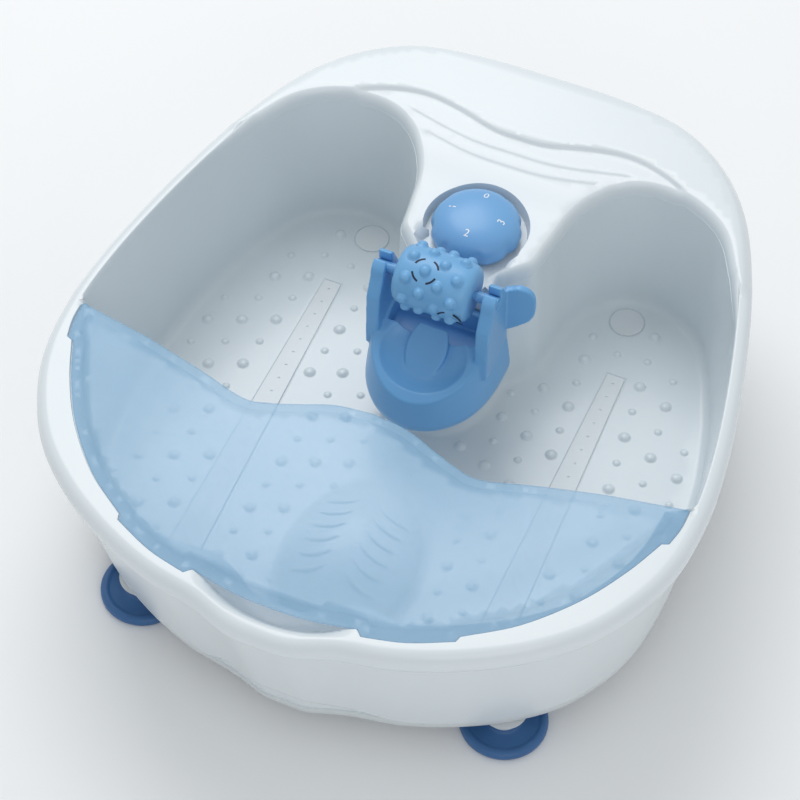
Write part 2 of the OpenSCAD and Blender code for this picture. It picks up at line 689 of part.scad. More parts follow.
module check_valve() {
    color(blue) translate([spur_x, spur_end + 0.1, tube_z]) rotate([-90, 0, 0]) difference() {
        union() {
            cylinder(r = 2.9, h = 13);
            cylinder(r = tube_r - 0.6, h = 27.8);
        }
        translate([0, 0, -1]) cylinder(r = 1, h = 40);
    }
}

// ---- wiring ----

inlet = [60, 192.6, 46];
inlet_r = 8;
module terminal_block() {
    color(dark) translate([40, 158, base_z + wall]) difference() {
        cube([40, 16, 15]);
        for (k = [0:3]) translate([5 + 10 * k, 8, 6]) cylinder(r = 2.2, h = 12);
    }
}
module inlet_gland() {
    color(dark) translate(inlet) rotate([-90, 0, 0]) difference() {
        union() {
            translate([0, 0, -11]) cylinder(r = inlet_r, h = 13);
            translate([0, 0, 1]) cylinder(r = 10, h = 2.4);
            translate([0, 0, -11]) cylinder(r = 10, h = 2.4);
        }
        translate([0, 0, -12]) cylinder(r = 3.6, h = 30);
    }
}
module foot_front_left() { rubber_foot(flip(foot_front)); }
module foot_front_right() { rubber_foot(foot_front); }
module foot_rear_left() { rubber_foot(flip(foot_rear)); }
module foot_rear_right() { rubber_foot(foot_rear); }

tub();
base_cover();
splash_guard();
bubble_strip_left();
bubble_strip_right();
heel_disc_left();
heel_disc_right();
roller_cradle();
roller_sleeve();
roller_axle();
control_knob();
knob_shaft();
rotary_switch();
switch_nut();
knob_seal();
foot_front_left();
foot_front_right();
foot_rear_left();
foot_rear_right();
foot_screws();
base_screws();
heater_plate();
heater_clamps();
thermostat();
thermal_fuse();
vibration_motor();
motor_sleeve();
motor_bracket();
motor_strap();
motor_shaft();
eccentric_weight();
pump_frame();
pump_coil();
pump_arm();
pump_magnet();
pump_diaphragm();
pump_lid();
air_manifold();
air_duct_left();
air_duct_right();
check_valve();
terminal_block();
inlet_gland();
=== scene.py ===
import json
import math
import bpy
import bmesh
import numpy as np
from mathutils import Matrix, Vector
from mathutils.geometry import delaunay_2d_cdt


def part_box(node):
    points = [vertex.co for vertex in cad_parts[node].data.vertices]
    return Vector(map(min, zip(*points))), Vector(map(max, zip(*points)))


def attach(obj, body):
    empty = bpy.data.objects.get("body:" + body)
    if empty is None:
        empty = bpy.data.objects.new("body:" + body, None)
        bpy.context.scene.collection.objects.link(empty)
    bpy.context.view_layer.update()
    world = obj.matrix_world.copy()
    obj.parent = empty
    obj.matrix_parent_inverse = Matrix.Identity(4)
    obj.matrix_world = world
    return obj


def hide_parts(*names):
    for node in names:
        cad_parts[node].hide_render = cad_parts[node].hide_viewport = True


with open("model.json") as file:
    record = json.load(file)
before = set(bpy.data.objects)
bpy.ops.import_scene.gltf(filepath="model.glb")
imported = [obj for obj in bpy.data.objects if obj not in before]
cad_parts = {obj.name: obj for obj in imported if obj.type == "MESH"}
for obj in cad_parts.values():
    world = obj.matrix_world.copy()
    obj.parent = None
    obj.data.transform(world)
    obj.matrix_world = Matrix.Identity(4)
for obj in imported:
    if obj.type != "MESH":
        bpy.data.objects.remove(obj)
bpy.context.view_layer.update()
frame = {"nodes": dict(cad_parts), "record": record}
MM = 0.001

# Heights and thicknesses of the basin, in millimetres like every outline below
RIM_Z = 130.0
FLOOR_Z = 32.0
PART_Z = 26.0
BASE_Z = 14.0
WALL = 2.6
SIDE = 3.4
DECK_RISE = 2.5
FLARE_Z = 116.0
LIP = 5.0
SHELF = 14.0
POST_TOP = 80.0
POST_Y = 46.0
LEDGE_Z = 127.6
RECESS_Z = 117.0
RECESS_R = 28.7
SPOUT_Y = -180.0
KNOB = (0.0, 86.0)
AXLE = (0.0, 30.0, 138.0)
HUMP = (0.0, -90.0)
HUMP_X, HUMP_Y, HUMP_H = 36.0, 52.0, 25.5
STRIP_X = 88.0
STRIP_Y = (-118.0, 86.0)
STRIP_HALF = (9.0, 5.0)
HEEL = (80.0, 125.0)
HEEL_R = 9.6
SPOUT_X, SPOUT_DEPTH = 47.0, 16.5
FEET = ("foot_front_left", "foot_front_right", "foot_rear_left", "foot_rear_right")

# Inner ring of a sheet that has no hole: three points far outside it
NO_HOLE = np.array([(0.0, -500.0), (0.01, -500.0), (0.0, -500.01)])

# Half outlines, right-hand side, as in the CAD source
RIM = [(0, 204), (44, 203), (82, 196), (112, 177), (135, 148), (153, 106), (166, 60), (176, 12),
       (181, -25), (182, -52), (179, -82), (170, -109), (153, -137), (128, -160), (98, -178),
       (68, -190), (40, -196), (18, -203), (0, -204)]
RIDGE = [(138, 102), (124, 126), (104, 139), (82, 142), (63, 133), (50, 113), (45.5, 90),
         (42.5, 72), (35, 62.5), (28.5, 54), (27, 40), (23, 24), (13, 12), (0, 8)]
FOOT_INSET = ([-204, -40, 40, 204], [28.5, 19.5, 12, 12])
DECK_EDGE = [(0, 149), (16, 150), (40, 157), (62, 160), (84, 155), (106, 143), (124, 126),
             (134, 114), (150, 94)]
TERRACES = [([(0, 138.5), (28, 139.5), (70, 149)], 0.9), ([(0, 129.5), (24, 130.5), (50, 136)], 0.9)]
GUARD_FRONT = [(0, -186), (20, -185), (45, -180.5)]
GUARD_TAB = [(48.5, -184), (70, -178.5), (92, -168.5)]
GUARD_SIDE = [(93, -165), (118, -147), (140, -122.5), (155, -98), (165.5, -75)]
GUARD_TIP = [(169, -73.5), (171.5, -62), (172, -50)]
GUARD_BACK = [(130, -57.5), (96, -66), (67, -74), (52, -71.5), (37, -66), (20, -59.5), (0, -57)]


# ---------------------------------------------------------------- curves and small helpers

def spline(points, steps, first=None, last=None):
    """Catmull-Rom curve through the points, with the neighbours beyond its ends if given."""
    p = [np.array(q, float) for q in points]
    before = np.array(first, float) if first is not None else 2 * p[0] - p[1]
    after = np.array(last, float) if last is not None else 2 * p[-1] - p[-2]
    p = [before] + p + [after]
    out = []
    for i in range(1, len(p) - 2):
        a, b, c, d = p[i - 1], p[i], p[i + 1], p[i + 2]
        for j in range(steps):
            t = j / steps
            out.append(0.5 * (2 * b + (c - a) * t + (2 * a - 5 * b + 4 * c - d) * t * t
                              + (3 * b - a - 3 * c + d) * t ** 3))
    out.append(p[-2])
    return np.array(out)


def flip(p):
    """The same point on the other side of the mirror line."""
    return (-p[0], p[1])


def mirrored(half):
    """Closed ring from a half outline that starts and ends on the mirror line."""
    back = half[-2:0:-1] * np.array([-1.0, 1.0])
    return np.vstack([half, back])


def normals(ring):
    """Unit vectors that point inwards from an anticlockwise ring."""
    t = np.roll(ring, -1, axis=0) - np.roll(ring, 1, axis=0)
    t /= np.linalg.norm(t, axis=1)[:, None]
    return np.stack([-t[:, 1], t[:, 0]], axis=1)


def inset(ring, distance):
    """A closed ring moved inwards, by one distance or by one for each point."""
    d = np.broadcast_to(np.asarray(distance, float), len(ring))
    return ring + normals(ring) * d[:, None]


def smoothstep(x, a, b):
    t = np.clip((np.asarray(x, float) - a) / (b - a), 0.0, 1.0)
    return t * t * (3 - 2 * t)


def inside(points, poly):
    """Which of the points lie in a closed polygon."""
    x, y = points[:, 0], points[:, 1]
    hit = np.zeros(len(points), bool)
    j = len(poly) - 1
    for i in range(len(poly)):
        xi, yi = poly[i]
        xj, yj = poly[j]
        if yi != yj:
            cross = ((yi > y) != (yj > y)) & (x < (xj - xi) * (y - yi) / (yj - yi) + xi)
            hit ^= cross
        j = i
    return hit


def new_object(name, verts, faces, material, smooth_angle=35.0):
    """Mesh object from points in millimetres, shaded smooth up to an angle."""
    mesh = bpy.data.meshes.new(name)
    mesh.from_pydata([tuple(float(c) * MM for c in v) for v in verts], [], faces)
    mesh.validate()
    obj = bpy.data.objects.new(name, mesh)
    bpy.context.scene.collection.objects.link(obj)
    mesh.materials.append(material)
    shade(obj, smooth_angle)
    return obj


def shade(obj, angle):
    """Smooth shading with the edges over the angle kept sharp."""
    bm = bmesh.new()
    bm.from_mesh(obj.data)
    bmesh.ops.remove_doubles(bm, verts=bm.verts, dist=1e-7)
    bmesh.ops.recalc_face_normals(bm, faces=bm.faces)
    for f in bm.faces:
        f.smooth = True
    for e in bm.edges:
        if len(e.link_faces) == 2:
            e.smooth = e.calc_face_angle(0.0) < math.radians(angle)
    bm.to_mesh(obj.data)
    bm.free()


def join(objs, name):
    bpy.ops.object.select_all(action="DESELECT")
    for o in objs:
        o.select_set(True)
    bpy.context.view_layer.objects.active = objs[0]
    if len(objs) > 1:
        bpy.ops.object.join()
    objs[0].name = name
    return objs[0]


def loft(rings, cap_low=False, cap_high=False):
    """Points and faces through rings of equal length, each (ring of x, y) with heights."""
    n = len(rings[0][0])
    verts = []
    for ring, z in rings:
        zs = np.broadcast_to(np.asarray(z, float), n)
        verts += [(p[0], p[1], h) for p, h in zip(ring, zs)]
    faces = []
    for k in range(len(rings) - 1):
        for i in range(n):
            j = (i + 1) % n
            faces.append((k * n + i, k * n + j, (k + 1) * n + j, (k + 1) * n + i))
    if cap_low:
        faces.append(tuple(range(n - 1, -1, -1)))
    if cap_high:
        faces.append(tuple((len(rings) - 1) * n + i for i in range(n)))
    return verts, faces


def lathe(profile, steps, wave=None):
    """Points and faces of a turned shape about Z; wave(angle, r, z) may change the radius."""
    verts = []
    for r, z in profile:
        for k in range(steps):
            a = 2 * math.pi * k / steps
            q = wave(a, r, z) if wave else r
            verts.append((q * math.cos(a), q * math.sin(a), z))
    faces = []
    for i in range(len(profile) - 1):
        for k in range(steps):
            m = (k + 1) % steps
            faces.append((i * steps + k, i * steps + m, (i + 1) * steps + m, (i + 1) * steps + k))
    faces.append(tuple(range(steps - 1, -1, -1)))
    faces.append(tuple((len(profile) - 1) * steps + k for k in range(steps)))
    return verts, faces


def merged(parts):
    """One list of points and faces out of several."""
    verts, faces = [], []
    for v, f in parts:
        base = len(verts)
        verts += list(v)
        faces += [tuple(base + i for i in face) for face in f]
    return verts, faces


def moved(part, offset=(0, 0, 0), turn=None):
    """Points and faces turned, then moved."""
    v, f = part
    out = []
    for p in v:
        q = Vector(p)
        if turn is not None:
            q = turn @ q
        out.append((q.x + offset[0], q.y + offset[1], q.z + offset[2]))
    return out, f


# ---------------------------------------------------------------- materials

def base_material(name):
    m = bpy.data.materials.new(name)
    m.use_nodes = True
    tree = m.node_tree
    shader = tree.nodes["Principled BSDF"]
    return m, tree, shader


def mottled(name, low, high, rough, scale, bump=0.02, metallic=0.0, subsurface=0.0):
    """Moulded or metal surface: two close shades in soft cloud, uneven gloss and fine grain."""
    m, tree, shader = base_material(name)
    nodes, links = tree.nodes, tree.links
    where = nodes.new("ShaderNodeTexCoord")
    cloud = nodes.new("ShaderNodeTexNoise")
    cloud.inputs["Scale"].default_value = scale
    cloud.inputs["Detail"].default_value = 4.0
    links.new(where.outputs["Object"], cloud.inputs["Vector"])
    ramp = nodes.new("ShaderNodeValToRGB")
    ramp.color_ramp.elements[0].position = 0.35
    ramp.color_ramp.elements[0].color = (*low, 1)
    ramp.color_ramp.elements[1].position = 0.65
    ramp.color_ramp.elements[1].color = (*high, 1)
    links.new(cloud.outputs["Fac"], ramp.inputs["Fac"])
    links.new(ramp.outputs["Color"], shader.inputs["Base Color"])
    gloss = nodes.new("ShaderNodeMapRange")
    gloss.inputs["To Min"].default_value = max(rough - 0.04, 0.02)
    gloss.inputs["To Max"].default_value = rough + 0.05
    links.new(cloud.outputs["Fac"], gloss.inputs["Value"])
    links.new(gloss.outputs["Result"], shader.inputs["Roughness"])
    grain = nodes.new("ShaderNodeTexNoise")
    grain.inputs["Scale"].default_value = 900.0
    grain.inputs["Detail"].default_value = 3.0
    links.new(where.outputs["Object"], grain.inputs["Vector"])
    relief = nodes.new("ShaderNodeBump")
    relief.inputs["Strength"].default_value = bump
    relief.inputs["Distance"].default_value = 0.0004
    links.new(grain.outputs["Fac"], relief.inputs["Height"])
    links.new(relief.outputs["Normal"], shader.inputs["Normal"])
    shader.inputs["Metallic"].default_value = metallic
    shader.inputs["Subsurface Weight"].default_value = subsurface
    shader.inputs["Subsurface Radius"].default_value = (0.004, 0.004, 0.004)
    return m


def guard_material():
    """Tinted, slightly milky clear plastic."""
    m = mottled("guard_clear_blue", (0.30, 0.56, 0.80), (0.34, 0.60, 0.83), 0.18, 14.0, 0.015)
    m.node_tree.nodes["Principled BSDF"].inputs["Alpha"].default_value = 0.42
    return m


MATERIALS = {
    "white_shell": mottled("white_shell", (0.74, 0.80, 0.83), (0.77, 0.825, 0.855), 0.24, 9.0, 0.03,
                           subsurface=0.04),
    "white_base": mottled("white_base", (0.66, 0.70, 0.72), (0.69, 0.73, 0.75), 0.36, 9.0, 0.05),
    "white_trim": mottled("white_trim", (0.76, 0.80, 0.82), (0.80, 0.84, 0.86), 0.34, 20.0, 0.03),
    "guard_clear_blue": guard_material(),
    "blue_plastic": mottled("blue_plastic", (0.15, 0.40, 0.72), (0.17, 0.43, 0.76), 0.33, 16.0, 0.03,
                            subsurface=0.03),
    "blue_roller": mottled("blue_roller", (0.17, 0.42, 0.72), (0.19, 0.45, 0.76), 0.36, 18.0, 0.04,
                           subsurface=0.03),
    "blue_knob": mottled("blue_knob", (0.17, 0.40, 0.72), (0.19, 0.43, 0.75), 0.34, 18.0, 0.03,
                         subsurface=0.03),
    "navy_rubber": mottled("navy_rubber", (0.035, 0.125, 0.31), (0.05, 0.15, 0.35), 0.42, 30.0, 0.08),
    "black_rubber": mottled("black_rubber", (0.02, 0.02, 0.022), (0.035, 0.035, 0.04), 0.6, 60.0, 0.1),
    "dark_plastic": mottled("dark_plastic", (0.04, 0.045, 0.05), (0.06, 0.065, 0.07), 0.45, 40.0, 0.08),
    "zinc_steel": mottled("zinc_steel", (0.50, 0.52, 0.54), (0.62, 0.64, 0.66), 0.3, 60.0, 0.05, 1.0),
    "heater_foil": mottled("heater_foil", (0.62, 0.50, 0.30), (0.75, 0.62, 0.38), 0.35, 70.0, 0.1, 0.9),
    "brass_weight": mottled("brass_weight", (0.62, 0.46, 0.2), (0.74, 0.57, 0.27), 0.3, 60.0, 0.05, 1.0),
    "copper_coil": mottled("copper_coil", (0.55, 0.22, 0.09), (0.72, 0.33, 0.16), 0.3, 120.0, 0.2, 0.9),
    "dark_magnet": mottled("dark_magnet", (0.06, 0.06, 0.065), (0.11, 0.11, 0.12), 0.5, 90.0, 0.2, 0.4),
    "clear_tube": mottled("clear_tube", (0.62, 0.68, 0.70), (0.70, 0.76, 0.78), 0.25, 40.0, 0.02),
}
PRINT = mottled("digit_print", (0.86, 0.9, 0.93), (0.93, 0.95, 0.97), 0.4, 80.0, 0.02)
# Near-black blue that paints the shade inside the roller's drain slots, which are not cut into the barrel
SLOT_PAINTED_SHADE = mottled("roller_slot_painted_shade", (0.008, 0.018, 0.05), (0.016, 0.03, 0.07), 0.6, 80.0, 0.05)


def paint_cad_nodes():
    """Every CAD node wears the procedural material of its slot."""
    for entry in frame["record"]["subparts"]:
        obj = frame["nodes"][entry["node"]]
        obj.data.materials.clear()
        obj.data.materials.append(MATERIALS[entry["material_slot"]])


# ---------------------------------------------------------------- the basin's outlines

def rim_half(steps):
    """Right-hand outer edge of the rim, from the deck round to the spout."""
    return spline(RIM, steps, first=flip(RIM[1]), last=flip(RIM[-2]))


RING = mirrored(rim_half(12))[::-1]


def foot_inset(ring, z):
    """How far the outer wall stands inside the rim: the body narrows towards its base."""
    share = np.maximum(0, FLARE_Z - z) / (FLARE_Z - BASE_Z)
    return LIP + (np.interp(ring[:, 1], *FOOT_INSET) - LIP) * share


def relief(ring, z):
    """Depth of the shallow arched finger grip low in the front wall."""
    x = ring[:, 0]
    crown = PART_Z + 13.5 * smoothstep(x, -56, -34) * (1 - smoothstep(x, 8, 66))
    depth = 1.2 * smoothstep(x, -58, -55) * (1 - smoothstep(x, 62, 68))
    return np.where(ring[:, 1] < -60, depth * (1 - smoothstep(z, crown - 0.9, crown + 0.2)), 0.0)


def wall_ring(z, extra=0.0):
    """The outer wall at one height."""
    return inset(RING, foot_inset(RING, z) + extra)


SIDE_HALF = rim_half(8)[::-1]
SIDE_HALF = SIDE_HALF[SIDE_HALF[:, 1] < 82]
RIDGE_HALF = spline(RIDGE, 8, last=flip(RIDGE[-2]))


def open_normals(path, first, last):
    """Unit vectors to the left of an open path."""
    ext = np.vstack([first, path, last])
    t = ext[2:] - ext[:-2]
    t /= np.linalg.norm(t, axis=1)[:, None]
    return np.stack([-t[:, 1], t[:, 0]], axis=1)


def cavity_ring(z, extra, draft, shelf=0.0):
    """The wells and front basin at one height, as a closed ring."""
    side = SIDE_HALF
    d = foot_inset(side, z) + SIDE + extra
    spout = 1 + 0.5 * (1 - smoothstep(side[:, 0], 44, 78))
    d = d + shelf * spout * (1 - smoothstep(side[:, 1], -56, -47))
    outer = side + open_normals(side, flip(side[1]), (160, 84)) * d[:, None]
    inner = RIDGE_HALF + open_normals(RIDGE_HALF, outer[-1], flip(RIDGE_HALF[-2])) * -draft
    half = np.vstack([outer, inner])
    half[0, 0] = 0.0
    half[-1, 0] = 0.0
    return mirrored(half)


def guard_ring(grow):
    """Edge of the guard grown by a gap, and how many of its points lie along the rim."""
    sides = np.vstack([spline(GUARD_FRONT, 8), spline(GUARD_TAB, 6), spline(GUARD_SIDE, 6),
                       spline(GUARD_TIP, 5)])
    back = spline(GUARD_BACK, 8)
    ring = mirrored(np.vstack([sides, back]))
    return inset(ring, -grow), len(sides)


GUARD_OUT, GUARD_SIDES = guard_ring(0.45)
GUARD_EDGE, _ = guard_ring(0.0)
LEDGE_TEST = inset(GUARD_OUT, -0.18)


def ring_distance(pts, ring):
    """Signed distance from a closed ring, negative inside it."""
    a, b = ring, np.roll(ring, -1, axis=0)
    ab = b - a
    length = (ab ** 2).sum(1)
    near = np.full(len(pts), 1e9)
    for i in range(len(a)):
        t = np.clip(((pts - a[i]) @ ab[i]) / length[i], 0, 1)
        near = np.minimum(near, np.linalg.norm(pts - (a[i] + t[:, None] * ab[i]), axis=1))
    return np.where(inside(pts, ring), -near, near)


def mouth_ring():
    """Outline of the dial's recess, which runs out towards the roller."""
    low = [(-18.0, 30.0), (18.0, 30.0), (18.0, 44.0)]
    arc = [(KNOB[0] + RECESS_R * math.cos(a), KNOB[1] + RECESS_R * math.sin(a))
           for a in np.linspace(math.radians(-14), math.radians(194), 70)]
    return np.array(low + arc + [(-18.0, 44.0)])


MOUTH = mouth_ring()


def top_height(pts):
    """Height of the basin's top surface over any point between the rim and the wells."""
    x, y = np.abs(pts[:, 0]), pts[:, 1]
    edge = spline(DECK_EDGE, 6, first=flip(DECK_EDGE[1]))
    slope = np.cos(np.arctan(np.interp(x, edge[:, 0], np.gradient(edge[:, 1], edge[:, 0]))))
    z = RIM_Z + DECK_RISE * smoothstep((y - np.interp(x, edge[:, 0], edge[:, 1])) * slope, -1.1, 0.9)
    console = (x < 66) & (y < 165) & (y > 0)
    for line, drop in TERRACES:
        pts_line = spline(line, 6, first=flip(line[1]))
        behind = smoothstep(y - np.interp(x, pts_line[:, 0], pts_line[:, 1]), -0.9, 0.7)
        z = z - np.where(console, drop * (1 - behind), 0)
    z = z - np.where(console, 3.7 * (1 - smoothstep(y, 104, 130)), 0)
    mouth = ring_distance(pts, MOUTH)
    z = np.where(y > POST_Y - 2, z + (RECESS_Z - z) * (1 - smoothstep(mouth, -0.4, 0.9)), z)
    post = (1 - smoothstep(y, POST_Y - 0.1, POST_Y + 0.3)) * (x < 60) * (y > 0)
    z = z + (POST_TOP - z) * post
    dip = np.where((x < 48) & (y < -140), 1.5 * (1 + np.cos(math.pi * np.minimum(x, 48) / 48)), 0)
    z = z - dip
    under = inside(pts, LEDGE_TEST)
    z = np.where(under & (y < -40), np.minimum(z, LEDGE_Z), z)
    trough = np.hypot(x / SPOUT_X, (y - SPOUT_Y) / SPOUT_DEPTH)
    z = np.where(y < -150, z + (FLARE_Z - z) * (1 - smoothstep(trough, 0.35, 1.0)), z)
    return z


def plate(outer, inner, grid, height, lines=()):
    """Triangulated sheet between two closed rings, with feature lines and a height rule."""
    lo, hi = outer.min(0), outer.max(0)
    gx = np.arange(lo[0], hi[0], grid)
    gy = np.arange(lo[1], hi[1], grid)
    cloud = np.array([(a + (j % 2) * grid / 2, b) for j, b in enumerate(gy) for a in gx])
    keep = inside(cloud, inset(outer, grid * 0.6)) & ~inside(cloud, inset(inner, -grid * 0.6))
    cloud = cloud[keep]
    pts = [tuple(p) for p in outer] + [tuple(p) for p in inner]
    n, m = len(outer), len(inner)
    edges = [(i, (i + 1) % n) for i in range(n)] + [(n + i, n + (i + 1) % m) for i in range(m)]
    for line in lines:
        keep_line = inside(line, inset(outer, 0.3)) & ~inside(line, inset(inner, -0.3))
        for i, p in enumerate(line):
            if not keep_line[i]:
                continue
            if i and keep_line[i - 1]:
                edges.append((len(pts) - 1, len(pts)))
            pts.append(tuple(p))
        near = np.min(np.linalg.norm(cloud[:, None, :] - line[None, :, :], axis=2), axis=1)
        cloud = cloud[near > grid * 0.35]
    pts += [tuple(p) for p in cloud]
    flat = [Vector((float(p[0]), float(p[1]))) for p in pts]
    verts, _, faces, _, _, _ = delaunay_2d_cdt(flat, edges, [], 0, 1e-4)
    v = np.array([(p.x, p.y) for p in verts])
    tri = np.array([f for f in faces if len(f) == 3])
    mid = v[tri].mean(1)
    good = inside(mid, outer) & ~inside(mid, inner)
    z = height(v)
    return [(p[0], p[1], h) for p, h in zip(v, z)], [tuple(int(i) for i in f) for f in tri[good]]


def offset_line(points, distance):
    """An open feature line moved sideways."""
    p = np.asarray(points, float)
    t = np.gradient(p, axis=0)
    t /= np.linalg.norm(t, axis=1)[:, None]
    return p + np.stack([-t[:, 1], t[:, 0]], axis=1) * distance


def both_sides(path):
    """A line that starts on the mirror line, with its reflection in front of it."""
    return np.vstack([path[:0:-1] * np.array([-1, 1]), path])


def circle(centre, radius, steps, squash=1.0):
    a = np.linspace(0, 2 * math.pi, steps, endpoint=False)
    return np.stack([centre[0] + radius * np.cos(a), centre[1] + radius * squash * np.sin(a)], axis=1)


# ---------------------------------------------------------------- tub

def tub_outside():
    """Outer wall with its finger grip, the groove under the lip, and the rolled lip."""
    levels = [PART_Z, PART_Z + 0.3, *np.arange(27, 43, 1.0), 46, 55, 65, 75, 85, 95, 105, 112]
    rings = [(wall_ring(PART_Z, 2.4), PART_Z + 3.0), (wall_ring(PART_Z, 2.4), PART_Z),
             (wall_ring(PART_Z, 0.6), PART_Z - 0.05)]
    rings += [(wall_ring(z, relief(RING, z)), z) for z in levels]
    lip = [(114.4, 5.0, 0), (115.2, 4.6, 0), (115.6, 3.2, 0), (115.9, 2.0, 0), (116.8, 1.1, 0),
           (118.5, 0.4, 0), (120.5, 0.05, 0), (122.5, 0.0, 0), (124.6, 0.3, 0), (126.4, 1.0, 0.05),
           (127.9, 2.0, 0.15), (129.0, 3.2, 0.35), (129.65, 4.4, 0.6), (129.95, 5.7, 0.85)]
    edge = inset(RING, 6.9)
    rise = top_height(edge) - RIM_Z
    for z, e, share in lip:
        dip = np.where((np.abs(RING[:, 0]) < 48) & (RING[:, 1] < 0),
                       np.minimum(rise, 0) * smoothstep(z, 112, 124), 0)
        rings.append((inset(RING, e), z + np.maximum(rise, 0) * share + dip))
    rings.append((edge, RIM_Z + rise))
    return rings


FILLET = [(0.0, 5.6, -5.6), (0.25, 3.9, -3.9), (0.9, 2.5, -2.5), (2.0, 1.3, -1.3), (3.6, 0.5, -0.5),
          (5.8, 0.05, -0.1), (9.0, 0.0, 0.0)]


def tub_inside():
    """Rings of the cavity from its floor up to the rounded top edge."""
    brim = cavity_ring(131, -0.9, 7.2, SHELF)
    top = top_height(brim)
    rings = [(cavity_ring(FLOOR_Z + dz, e, d), FLOOR_Z + dz) for dz, e, d in FILLET]
    for share in (0.2, 0.4, 0.6, 0.8, 1.0):
        z = FLOOR_Z + 9 + (top - 8 - FLOOR_Z - 9) * share
        rings.append((cavity_ring(FLOOR_Z + 9 + 77 * share, 0, 3.0 * share), z))
    rear = [(-8.0, 0.0, 3.2), (-5.5, 0.0, 3.5), (-3.6, 0.0, 4.1), (-2.0, -0.15, 4.9),
            (-0.9, -0.4, 5.8), (-0.2, -0.7, 6.7)]
    shelf = [0.0, 0.0, 0.0, SHELF, SHELF, SHELF]
    drop = [-6.6, -6.2, -5.9, -5.5, -3.0, -1.0]
    front = 1 - smoothstep(brim[:, 1], -56, -47)
    for (dz, e, d), s, f in zip(rear, shelf, drop):
        rings.append((cavity_ring(124, e, d, s), top + dz * (1 - front) + f * front))
    rings.append((brim, top))
    return rings


def floor_height(pts):
    """Floor of the wells, with a low mound in the middle of the front basin."""
    x, y = pts[:, 0] - HUMP[0], pts[:, 1] - HUMP[1]
    q = np.sqrt(np.maximum(0, 1 - (x / HUMP_X) ** 2 - (y / HUMP_Y) ** 2))
    reach = np.hypot(x / HUMP_X, y / HUMP_Y)
    foot = 2.2 * np.exp(-((reach - 1) / 0.07) ** 2)
    side = np.abs(pts[:, 0]) - STRIP_X
    half = np.interp(pts[:, 1], STRIP_Y, STRIP_HALF)
    ends = np.maximum(pts[:, 1] - STRIP_Y[1], STRIP_Y[0] - pts[:, 1])
    seam = np.maximum(np.abs(side) - half, ends)
    plug = np.hypot(np.abs(pts[:, 0]) - HEEL[0], pts[:, 1] - HEEL[1]) - HEEL_R
    seam = np.minimum(seam, plug)
    groove = 0.55 * smoothstep(seam, -0.3, 0.1) * (1 - smoothstep(seam, 0.65, 1.0))
    return FLOOR_Z + HUMP_H * q + foot * (1 - q) - groove


def floor_plate(edge):
    """Floor sheet with lines round the strips, the heel plugs and the mound."""
    strips = []
    for s in (-1, 1):
        for g in (-0.3, 0.1, 0.65, 1.05):
            low, high = STRIP_Y[0] - g, STRIP_Y[1] + g
            wide, slim = STRIP_HALF[0] + g, STRIP_HALF[1] + g
            corners = [(-wide, low), (wide, low), (slim, high), (-slim, high), (-wide, low)]
            strips.append(np.array([(s * (STRIP_X + dx), y) for dx, y in corners]))
            strips.append(circle((s * HEEL[0], HEEL[1]), HEEL_R + g, 49))
    a = np.linspace(0, 2 * math.pi, 73)
    rings = [np.stack([HUMP[0] + HUMP_X * k * np.cos(a), HUMP[1] + HUMP_Y * k * np.sin(a)], axis=1)
             for k in (0.45, 0.7, 0.85, 0.94, 0.985, 1.0, 1.04, 1.1, 1.18)]
    return plate(edge, NO_HOLE, 6.0, floor_height, rings + strips)


def nub(radius, height):
    """A smooth dome with a soft foot."""
    rows = [(1.35, -0.04), (1.16, 0.03), (1.0, 0.2), (0.86, 0.48), (0.66, 0.76), (0.4, 0.94), (0.12, 1.0)]
    return lathe([(radius * a, height * b) for a, b in rows], 16)


# Where nubs may stand: y against the largest and the smallest x
OUTER_BOUND = ([-172, -150, -120, -80, -40, 20, 60, 95, 125, 133],
               [40, 84, 118, 140, 148, 148, 142, 130, 108, 90])
INNER_BOUND = ([-172, -10, 0, 22, 40, 56, 80, 112, 133], [-1, -1, 12, 26, 33, 38, 52, 58, 84])


def nub_places():
    """Two lattices of nubs in each well, either side of the bubble strip: (x, y, large)."""
    lattices = [((107, 48), (18.2, -7.6), (2.1, -18.2), 1),
                ((70.4, 55.6), (17.4, -6.8), (1.6, -17.4), -1)]
    out = []
    for start, a, b, side in lattices:
        for j in range(-6, 15):
            for i in range(-8, 9):
                x = start[0] + i * a[0] + j * b[0]
                y = start[1] + i * a[1] + j * b[1]
                near_strip = abs(x - STRIP_X) < 13 and y < 92
                if (x - STRIP_X) * side < 0 or near_strip or not -168 < y < 131:
                    continue
                if x > np.interp(y, *OUTER_BOUND) or x < np.interp(y, *INNER_BOUND):
                    continue
                if math.hypot(x - HEEL[0], y - HEEL[1]) < 15:
                    continue
                if math.hypot(x / 40, (y - HUMP[1]) / 56) < 1:
                    continue
                out.append((x, y, j % 2 == 0))
    return out


def floor_nubs():
    parts = []
    for x, y, large in nub_places():
        shape = nub(3.1, 1.9) if large else nub(2.1, 1.2)
        for s in ((1, -1) if x > 1 else (1,)):
            parts.append(moved(shape, (s * x, y, FLOOR_Z - 0.02)))
    return parts


RIB = [(-9.0, 2.6), (-4.6, 0.6), (0.0, 0.0), (4.6, 0.6), (9.0, 2.6)]
RIB_X, RIB_Y, RIB_STEP, RIB_TURN = 14.5, -66.5, 9.4, 14.0
RIB_HALF, RIB_H = 1.35, 1.5


